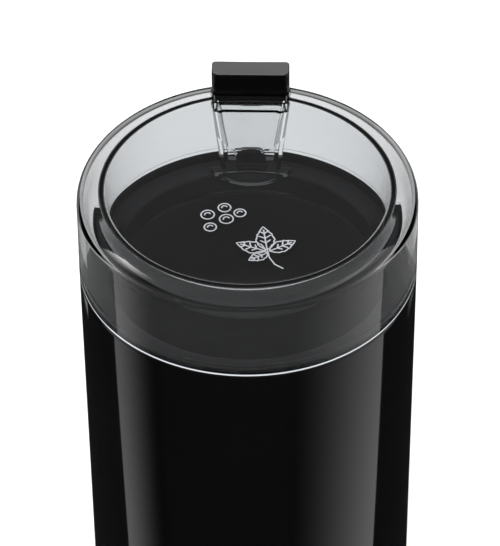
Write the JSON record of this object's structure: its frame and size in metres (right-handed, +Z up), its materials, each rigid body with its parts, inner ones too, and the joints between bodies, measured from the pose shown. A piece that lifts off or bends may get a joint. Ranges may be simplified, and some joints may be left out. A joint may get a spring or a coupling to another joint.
{
  "type": "electric spice grinder",
  "caption": "Electric spice grinder: glossy black round body, clear lift-off lid with a push button at its back edge, steel blade in a bowl.",
  "frame": {"origin": "middle of the round body on the surface that the feet stand on", "axes": "+Z up along the body's axis, -Y to the front, +Y towards the push button and the cord inlet, +X to the right seen from the front"},
  "size_m": [0.088, 0.088, 0.172],
  "materials": {
    "black_gloss": "gloss",
    "black_satin": "satin",
    "clear_lid": "clear moulded plastic, glass-like",
    "steel_blade": "ground and polished",
    "rubber_black": "matte",
    "shaft_steel": "ground",
    "screw_steel": "zinc plated",
    "bracket_steel": "pressed, zinc plated",
    "lamination": "stacked sheet, matte",
    "copper_wire": "lacquered copper",
    "brass": "satin",
    "bronze": "sintered, matte",
    "spring_steel": "bright",
    "carbon": "matte",
    "switch_plastic": "matte",
    "fan_plastic": "matte",
    "suppressor_yellow": "gloss"
  },
  "bodies": {
    "base": {"base_cover": "black_satin", "base_screws": "screw_steel", "bowl_gasket": "rubber_black", "brush_holders": "brass", "brush_springs": "spring_steel", "carbon_brushes": "carbon", "clamp_screws": "screw_steel", "cord_clamp": "switch_plastic", "cord_grommet": "rubber_black", "feet": "rubber_black", "field_coils": "copper_wire", "field_core": "lamination", "grinding_bowl": "black_satin", "housing": "black_gloss", "lever_pin": "shaft_steel", "lower_bearing": "bronze", "lower_bracket": "bracket_steel", "motor_screws": "screw_steel", "mount_screws": "screw_steel", "rubber_mounts": "rubber_black", "shaft_seal": "rubber_black", "suppressor": "suppressor_yellow", "switch_bracket": "bracket_steel", "switch_case": "switch_plastic", "switch_terminals": "brass", "terminal_block": "switch_plastic", "upper_bearing": "bronze", "upper_bracket": "bracket_steel"},
    "lid": {"lid_shell": "clear_lid"},
    "button": {"button_cap": "black_gloss", "button_plunger": "clear_lid"},
    "switch_slide": {"switch_bar": "black_satin"},
    "lever": {"switch_lever": "bracket_steel"},
    "rotor": {"motor_shaft": "shaft_steel", "armature_core": "lamination", "armature_windings": "copper_wire", "commutator": "brass", "cooling_fan": "fan_plastic", "blade": "steel_blade", "blade_nut": "steel_blade"}
  },
  "joints": [
    {"name": "lid_lift", "type": "slide", "parent": "base", "child": "lid", "axis": [0, 0, 1], "range_m": [0, 0.06]},
    {"name": "button_press", "type": "slide", "parent": "lid", "child": "button", "axis": [0, 0, -1], "range_m": [0, 0.003], "stiffness_N_per_m": 900, "springref_m": -0.0012},
    {"name": "switch_press", "type": "slide", "parent": "base", "child": "switch_slide", "axis": [0, 0, -1], "range_m": [0, 0.003]},
    {"name": "lever_turn", "type": "hinge", "parent": "base", "child": "lever", "pos_m": [0, 0.0311, 0.093], "axis": [-1, 0, 0], "range_deg": [0, 24.5]},
    {"name": "blade_spin", "type": "hinge", "parent": "base", "child": "rotor", "pos_m": [0, 0, 0.098], "axis": [0, 0, 1], "continuous": true}
  ],
  "couplings": [
    {"joint": "switch_press", "follows": "button_press", "ratio": 1},
    {"joint": "lever_turn", "follows": "button_press", "rad_per_m": 140}
  ]
}
